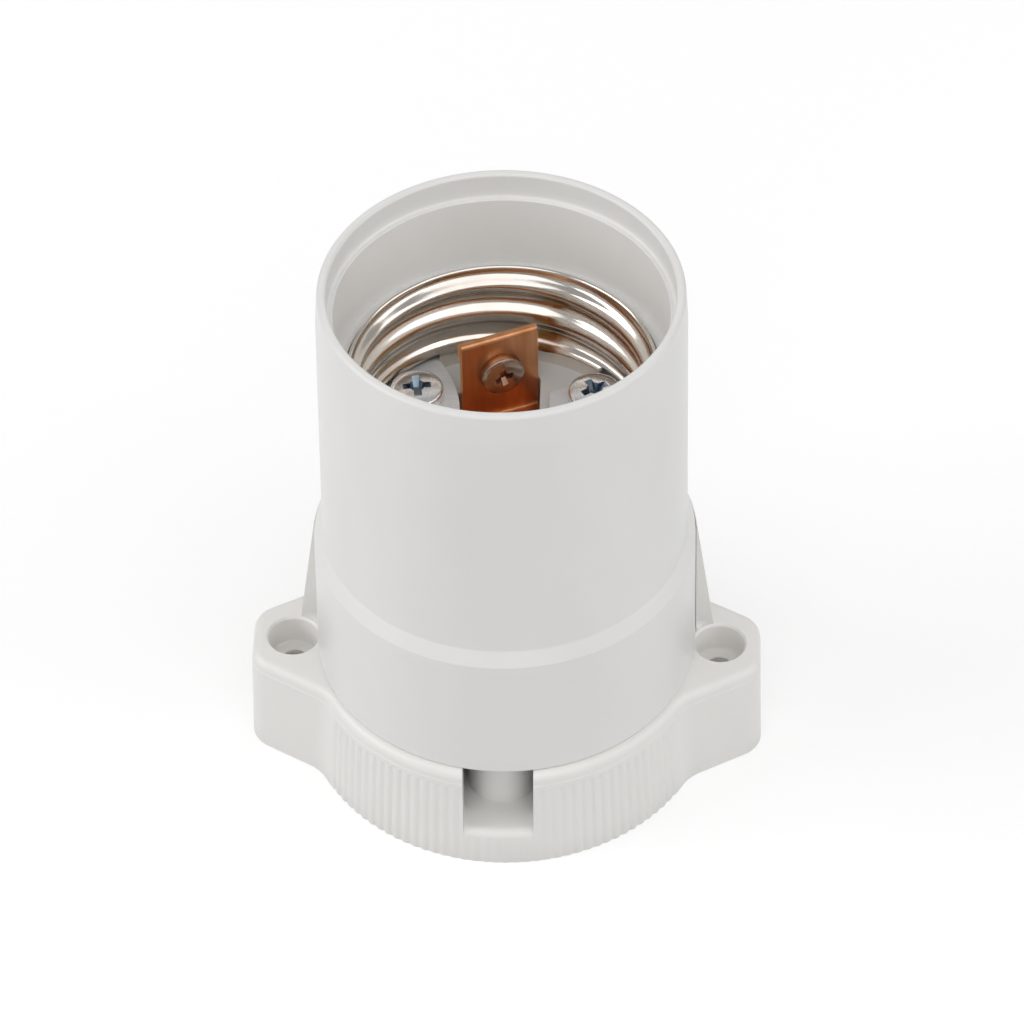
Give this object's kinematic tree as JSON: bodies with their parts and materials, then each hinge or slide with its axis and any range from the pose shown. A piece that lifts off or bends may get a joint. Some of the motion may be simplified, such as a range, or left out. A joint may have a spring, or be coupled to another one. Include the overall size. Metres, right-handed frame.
{
  "type": "lamp holder",
  "caption": "White moulded surface lamp holder with a nickel E27 screw shell, a copper centre contact, side screws and a base with two fixing ears",
  "frame": {"origin": "Centre of the flat underside of the base, on the barrel's axis", "axes": "+Z out of the mouth along the barrel's axis, +X from the left fixing ear to the right one, -Y through the cable notch in the front of the base"},
  "size_m": [0.0482, 0.0393, 0.0544],
  "materials": {
    "white_plastic": "smooth satin gloss, moulded",
    "nickel_sheet": "bright nickel-plated sheet",
    "zinc_steel": "zinc-plated steel with a fine grain",
    "copper_strip": "bright rolled copper alloy",
    "brass": "plain rolled brass"
  },
  "bodies": {
    "root": {"base": "white_plastic", "barrel": "white_plastic", "screw_shell": "nickel_sheet", "left_shell_plate": "zinc_steel", "right_shell_plate": "zinc_steel", "left_screw_washer": "zinc_steel", "right_screw_washer": "zinc_steel", "left_shell_screw": "zinc_steel", "right_shell_screw": "zinc_steel", "right_shell_nut": "zinc_steel", "centre_contact": "copper_strip", "centre_contact_screw": "zinc_steel", "live_terminal": "brass", "live_wire_clamp": "zinc_steel", "live_terminal_screw": "zinc_steel", "neutral_terminal": "brass", "neutral_wire_clamp": "zinc_steel", "neutral_terminal_screw": "zinc_steel", "front_body_screw": "zinc_steel", "rear_body_screw": "zinc_steel"}
  },
  "joints": []
}
